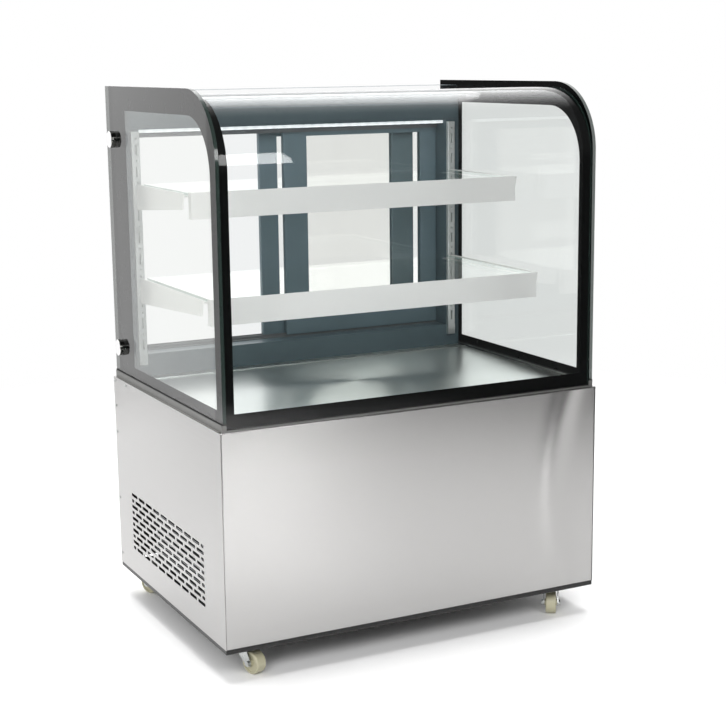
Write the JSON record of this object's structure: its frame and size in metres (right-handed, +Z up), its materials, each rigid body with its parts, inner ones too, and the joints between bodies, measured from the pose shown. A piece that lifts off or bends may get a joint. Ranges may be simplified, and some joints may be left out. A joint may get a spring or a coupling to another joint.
{
  "type": "refrigerated glass display showcase",
  "caption": "Floor-standing refrigerated display case: bent front glass, shelves, rear sliding doors and a steel base on swivel casters.",
  "frame": {"origin": "on the floor under the middle of the cabinet", "axes": "+X to the customer's right, +Y towards the operator's side, +Z up"},
  "size_m": [0.922, 0.6807, 1.218],
  "materials": {
    "brushed_stainless": "horizontal brushed satin",
    "black_painted_steel": "semi-gloss powder coat",
    "trim_aluminium": "satin anodised",
    "black_rubber": "matte",
    "clear_glass": "clear toughened, green edge",
    "door_glass": "double pane",
    "enamel_print": "glossy black enamel",
    "chrome_cap": "polished",
    "liner_plastic": "smooth moulded",
    "deck_stainless": "satin",
    "frame_paint": "satin dark grey",
    "door_frame_plastic": "extruded dark grey",
    "shelf_steel": "fine satin",
    "zinc_steel": "zinc plated",
    "lamp_diffuser": "opal diffuser",
    "coil_aluminium": "bare fins",
    "motor_paint": "black enamel",
    "fan_plastic": "glass-filled plastic",
    "copper_tube": "bare copper",
    "grey_plastic": "moulded",
    "black_plastic": "moulded fine texture",
    "nylon_wheel": "cream nylon"
  },
  "bodies": {
    "case": {"base_frame": "black_painted_steel", "front_panel": "brushed_stainless", "left_side_panel": "brushed_stainless", "right_side_panel": "brushed_stainless", "rear_service_panel": "brushed_stainless", "panel_screws": "zinc_steel", "base_top_trim": "trim_aluminium", "glass_gasket": "black_rubber", "left_side_glass": "clear_glass", "right_side_glass": "clear_glass", "side_glass_borders": "enamel_print", "curved_front_glass": "clear_glass", "front_glass_border": "enamel_print", "glass_caps": "chrome_cap", "well_tub": "liner_plastic", "deck_pan": "deck_stainless", "air_grilles": "deck_stainless", "rear_sill": "frame_paint", "rear_posts": "frame_paint", "header_box": "frame_paint", "door_tracks": "grey_plastic", "shelf_standards": "zinc_steel", "shelf_brackets": "shelf_steel", "upper_shelf_glass": "clear_glass", "upper_shelf_fascia": "shelf_steel", "middle_shelf_glass": "clear_glass", "middle_shelf_fascia": "shelf_steel", "led_lamps": "lamp_diffuser", "condenser_coil": "coil_aluminium", "condenser_fan_shroud": "black_painted_steel", "condenser_fan_motor": "motor_paint", "compressor": "motor_paint", "refrigerant_pipes": "copper_tube", "evaporator_coil": "coil_aluminium", "evaporator_fan_motors": "grey_plastic", "drain_tray": "grey_plastic", "electrical_box": "grey_plastic", "controller": "black_plastic", "switch_housings": "black_plastic", "power_inlet": "black_plastic", "caster_plates": "zinc_steel"},
    "left_door": {"left_door_frame": "door_frame_plastic", "left_door_glass": "door_glass"},
    "right_door": {"right_door_frame": "door_frame_plastic", "right_door_glass": "door_glass"},
    "condenser_rotor": {"condenser_fan": "fan_plastic"},
    "left_evaporator_rotor": {"left_evaporator_fan": "fan_plastic"},
    "right_evaporator_rotor": {"right_evaporator_fan": "fan_plastic"},
    "set_key": {"set_button": "grey_plastic"},
    "defrost_key": {"defrost_button": "grey_plastic"},
    "power_rocker": {"power_switch": "black_plastic"},
    "light_rocker": {"light_switch": "black_plastic"},
    "front_left_swivel": {"front_left_fork": "zinc_steel"},
    "front_left_roll": {"front_left_wheel": "nylon_wheel"},
    "front_right_swivel": {"front_right_fork": "zinc_steel"},
    "front_right_roll": {"front_right_wheel": "nylon_wheel"},
    "rear_left_swivel": {"rear_left_fork": "zinc_steel"},
    "rear_left_roll": {"rear_left_wheel": "nylon_wheel"},
    "rear_right_swivel": {"rear_right_fork": "zinc_steel"},
    "rear_right_roll": {"rear_right_wheel": "nylon_wheel"}
  },
  "joints": [
    {"name": "left_door_slide", "type": "slide", "parent": "case", "child": "left_door", "axis": [1, 0, 0], "range_m": [-0.3265, 0.055]},
    {"name": "right_door_slide", "type": "slide", "parent": "case", "child": "right_door", "axis": [1, 0, 0], "range_m": [-0.3815, 0]},
    {"name": "condenser_fan_spin", "type": "hinge", "parent": "case", "child": "condenser_rotor", "pos_m": [-0.37, 0, 0.21], "axis": [1, 0, 0], "continuous": true},
    {"name": "left_evaporator_fan_spin", "type": "hinge", "parent": "case", "child": "left_evaporator_rotor", "pos_m": [-0.19, 0.118, 0.486], "axis": [0, 1, 0], "continuous": true},
    {"name": "right_evaporator_fan_spin", "type": "hinge", "parent": "case", "child": "right_evaporator_rotor", "pos_m": [0.19, 0.118, 0.486], "axis": [0, 1, 0], "continuous": true},
    {"name": "set_button_press", "type": "slide", "parent": "case", "child": "set_key", "axis": [0, -1, 0], "range_m": [0, 0.001], "stiffness_N_per_m": 400},
    {"name": "defrost_button_press", "type": "slide", "parent": "case", "child": "defrost_key", "axis": [0, -1, 0], "range_m": [0, 0.001], "stiffness_N_per_m": 400},
    {"name": "power_switch_rock", "type": "hinge", "parent": "case", "child": "power_rocker", "pos_m": [0.2, 0.338, 0.355], "axis": [1, 0, 0], "range_deg": [0, 16]},
    {"name": "light_switch_rock", "type": "hinge", "parent": "case", "child": "light_rocker", "pos_m": [0.16, 0.338, 0.355], "axis": [1, 0, 0], "range_deg": [0, 16]},
    {"name": "front_left_caster_swivel", "type": "hinge", "parent": "case", "child": "front_left_swivel", "pos_m": [-0.386, -0.274, 0.06], "axis": [0, 0, 1], "continuous": true},
    {"name": "front_left_wheel_spin", "type": "hinge", "parent": "front_left_swivel", "child": "front_left_roll", "pos_m": [-0.37842, -0.29677, 0.025], "axis": [0.9489, 0.3156, 0], "continuous": true},
    {"name": "front_right_caster_swivel", "type": "hinge", "parent": "case", "child": "front_right_swivel", "pos_m": [0.386, -0.274, 0.06], "axis": [0, 0, 1], "continuous": true},
    {"name": "front_right_wheel_spin", "type": "hinge", "parent": "front_right_swivel", "child": "front_right_roll", "pos_m": [0.37255, -0.29387, 0.025], "axis": [0.8281, -0.5606, 0], "continuous": true},
    {"name": "rear_left_caster_swivel", "type": "hinge", "parent": "case", "child": "rear_left_swivel", "pos_m": [-0.386, 0.274, 0.06], "axis": [0, 0, 1], "continuous": true},
    {"name": "rear_left_wheel_spin", "type": "hinge", "parent": "rear_left_swivel", "child": "rear_left_roll", "pos_m": [-0.39727, 0.29519, 0.025], "axis": [-0.8829, -0.4695, 0], "continuous": true},
    {"name": "rear_right_caster_swivel", "type": "hinge", "parent": "case", "child": "rear_right_swivel", "pos_m": [0.386, 0.274, 0.06], "axis": [0, 0, 1], "continuous": true},
    {"name": "rear_right_wheel_spin", "type": "hinge", "parent": "rear_right_swivel", "child": "rear_right_roll", "pos_m": [0.39652, 0.29557, 0.025], "axis": [-0.8988, 0.4384, 0], "continuous": true}
  ]
}
